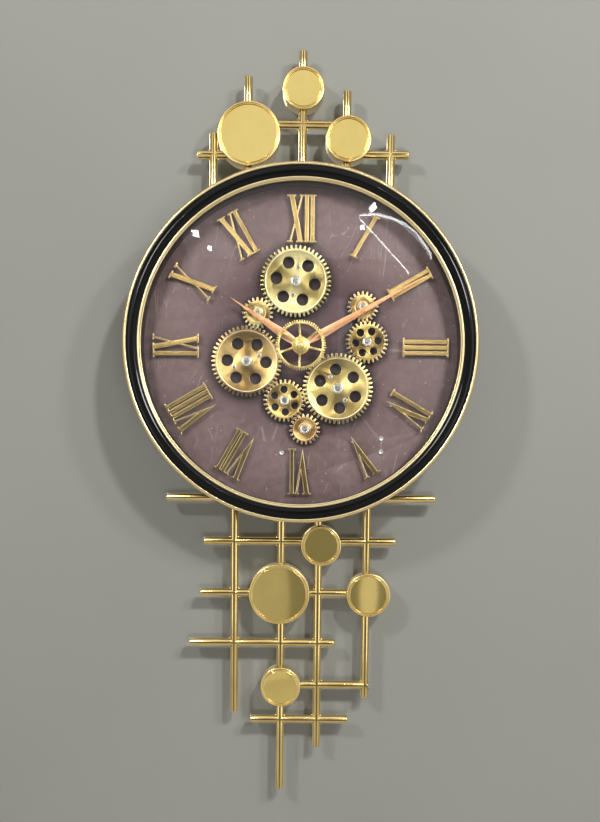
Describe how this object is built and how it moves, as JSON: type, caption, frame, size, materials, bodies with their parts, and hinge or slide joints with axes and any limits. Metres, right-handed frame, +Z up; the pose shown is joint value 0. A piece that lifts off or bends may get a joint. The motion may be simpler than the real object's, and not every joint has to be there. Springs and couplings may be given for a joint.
{
  "type": "wall clock",
  "caption": "Tall hanging wall clock: round case with raised Roman hours, an open gear train behind domed glass, and gold lattices with round mirrors above and below.",
  "frame": {"origin": "centre of the keyhole's round hole in the hanging plate, in the wall's plane", "axes": "+Z up along the clock's height, +Y into the wall, so the dial faces -Y, +X to the right as seen from the front"},
  "size_m": [0.4999, 0.0735, 1.0747],
  "materials": {
    "case_lacquer": "black lacquer, satin",
    "panel_lacquer": "dark board, matte",
    "band_lacquer": "black lacquer, high gloss",
    "gold_trim": "polished gold",
    "clear_glass": "clear, domed",
    "seal_rubber": "matte",
    "dial_paint": "satin mauve paint",
    "hour_gold": "brushed gold",
    "gear_brass": "brushed brass",
    "gear_bronze": "satin bronze",
    "cap_silver": "polished",
    "hand_copper": "satin copper",
    "wheel_gold": "brushed gold",
    "pin_steel": "plain steel",
    "module_plastic": "black moulded",
    "cell_wrap": "printed sleeve without words",
    "lattice_gold": "polished gold plate",
    "cup_gold": "polished gold plate",
    "gold_mirror": "gold-toned mirror"
  },
  "bodies": {
    "clock_body": {"back_panel": "panel_lacquer", "back_screws": "pin_steel", "bezel_band": "band_lacquer", "bezel_inner_ring": "gold_trim", "bezel_outer_ring": "gold_trim", "bush_nuts": "wheel_gold", "case_ring": "case_lacquer", "cells": "cell_wrap", "dial_plate": "dial_paint", "dial_screws": "pin_steel", "dial_spacers": "pin_steel", "gear_motor": "module_plastic", "gear_posts": "pin_steel", "glass_dome": "clear_glass", "glass_gasket": "seal_rubber", "hanger_plate": "pin_steel", "hour_eight": "hour_gold", "hour_eleven": "hour_gold", "hour_five": "hour_gold", "hour_four": "hour_gold", "hour_nine": "hour_gold", "hour_one": "hour_gold", "hour_posts": "pin_steel", "hour_seven": "hour_gold", "hour_six": "hour_gold", "hour_ten": "hour_gold", "hour_three": "hour_gold", "hour_twelve": "hour_gold", "hour_two": "hour_gold", "lower_crossbars": "lattice_gold", "lower_cups": "cup_gold", "lower_mirrors": "gold_mirror", "lower_uprights": "lattice_gold", "movement": "module_plastic", "post_caps": "cap_silver", "threaded_bushes": "wheel_gold", "upper_crossbars": "lattice_gold", "upper_cups": "cup_gold", "upper_mirrors": "gold_mirror", "upper_uprights": "lattice_gold"},
    "drive_wheel": {"drive_gear": "gear_brass", "drive_gear_screws": "cap_silver", "drive_shaft": "pin_steel", "drive_cap": "cap_silver"},
    "top_wheel": {"gear_top": "gear_brass", "gear_top_screws": "cap_silver"},
    "right_wheel": {"gear_right": "gear_brass", "gear_right_screws": "cap_silver"},
    "lower_middle_wheel": {"middle_gear_lower": "gear_brass"},
    "right_middle_wheel": {"middle_gear_right": "gear_brass"},
    "left_small_wheel": {"small_gear_left": "gear_brass"},
    "right_small_wheel": {"small_gear_right": "gear_brass"},
    "bottom_small_wheel": {"small_gear_bottom": "gear_bronze"},
    "minute_body": {"minute_hand": "hand_copper", "minute_pipe": "wheel_gold"},
    "hour_body": {"hour_hand": "hand_copper", "hour_pipe": "wheel_gold"},
    "seconds_body": {"centre_wheel": "wheel_gold", "seconds_arbor": "wheel_gold"},
    "knob_body": {"set_knob": "module_plastic"}
  },
  "joints": [
    {"name": "drive_wheel_turn", "type": "hinge", "parent": "clock_body", "child": "drive_wheel", "pos_m": [-0.0768, 0, -0.1714], "axis": [0, -1, 0], "continuous": true},
    {"name": "left_small_wheel_turn", "type": "hinge", "parent": "clock_body", "child": "left_small_wheel", "pos_m": [-0.06126, 0, -0.10356], "axis": [0, -1, 0], "continuous": true},
    {"name": "top_wheel_turn", "type": "hinge", "parent": "clock_body", "child": "top_wheel", "pos_m": [-0.00795, 0, -0.05882], "axis": [0, -1, 0], "continuous": true},
    {"name": "lower_middle_wheel_turn", "type": "hinge", "parent": "clock_body", "child": "lower_middle_wheel", "pos_m": [-0.02231, 0, -0.22665], "axis": [0, -1, 0], "continuous": true},
    {"name": "bottom_small_wheel_turn", "type": "hinge", "parent": "clock_body", "child": "bottom_small_wheel", "pos_m": [0.0067, 0, -0.26688], "axis": [0, -1, 0], "continuous": true},
    {"name": "right_wheel_turn", "type": "hinge", "parent": "clock_body", "child": "right_wheel", "pos_m": [0.05327, 0, -0.20907], "axis": [0, -1, 0], "continuous": true},
    {"name": "right_middle_wheel_turn", "type": "hinge", "parent": "clock_body", "child": "right_middle_wheel", "pos_m": [0.09404, 0, -0.14304], "axis": [0, -1, 0], "continuous": true},
    {"name": "right_small_wheel_turn", "type": "hinge", "parent": "clock_body", "child": "right_small_wheel", "pos_m": [0.08748, 0, -0.09388], "axis": [0, -1, 0], "continuous": true},
    {"name": "minute_turn", "type": "hinge", "parent": "clock_body", "child": "minute_body", "pos_m": [0, 0, -0.15], "axis": [0, -1, 0], "continuous": true},
    {"name": "hour_turn", "type": "hinge", "parent": "clock_body", "child": "hour_body", "pos_m": [0, 0, -0.15], "axis": [0, -1, 0], "continuous": true},
    {"name": "seconds_turn", "type": "hinge", "parent": "clock_body", "child": "seconds_body", "pos_m": [0, 0, -0.15], "axis": [0, -1, 0], "continuous": true},
    {"name": "knob_turn", "type": "hinge", "parent": "clock_body", "child": "knob_body", "pos_m": [0.013, 0, -0.137], "axis": [0, -1, 0], "continuous": true}
  ],
  "couplings": [
    {"joint": "left_small_wheel_turn", "follows": "drive_wheel_turn", "ratio": -2.4},
    {"joint": "top_wheel_turn", "follows": "drive_wheel_turn", "ratio": 1},
    {"joint": "lower_middle_wheel_turn", "follows": "drive_wheel_turn", "ratio": -1.7143},
    {"joint": "bottom_small_wheel_turn", "follows": "drive_wheel_turn", "ratio": 2.4},
    {"joint": "right_wheel_turn", "follows": "drive_wheel_turn", "ratio": 1},
    {"joint": "right_middle_wheel_turn", "follows": "drive_wheel_turn", "ratio": -1.7143},
    {"joint": "right_small_wheel_turn", "follows": "drive_wheel_turn", "ratio": 2.4},
    {"joint": "hour_turn", "follows": "minute_turn", "ratio": 0.083333},
    {"joint": "knob_turn", "follows": "minute_turn", "ratio": -3}
  ]
}
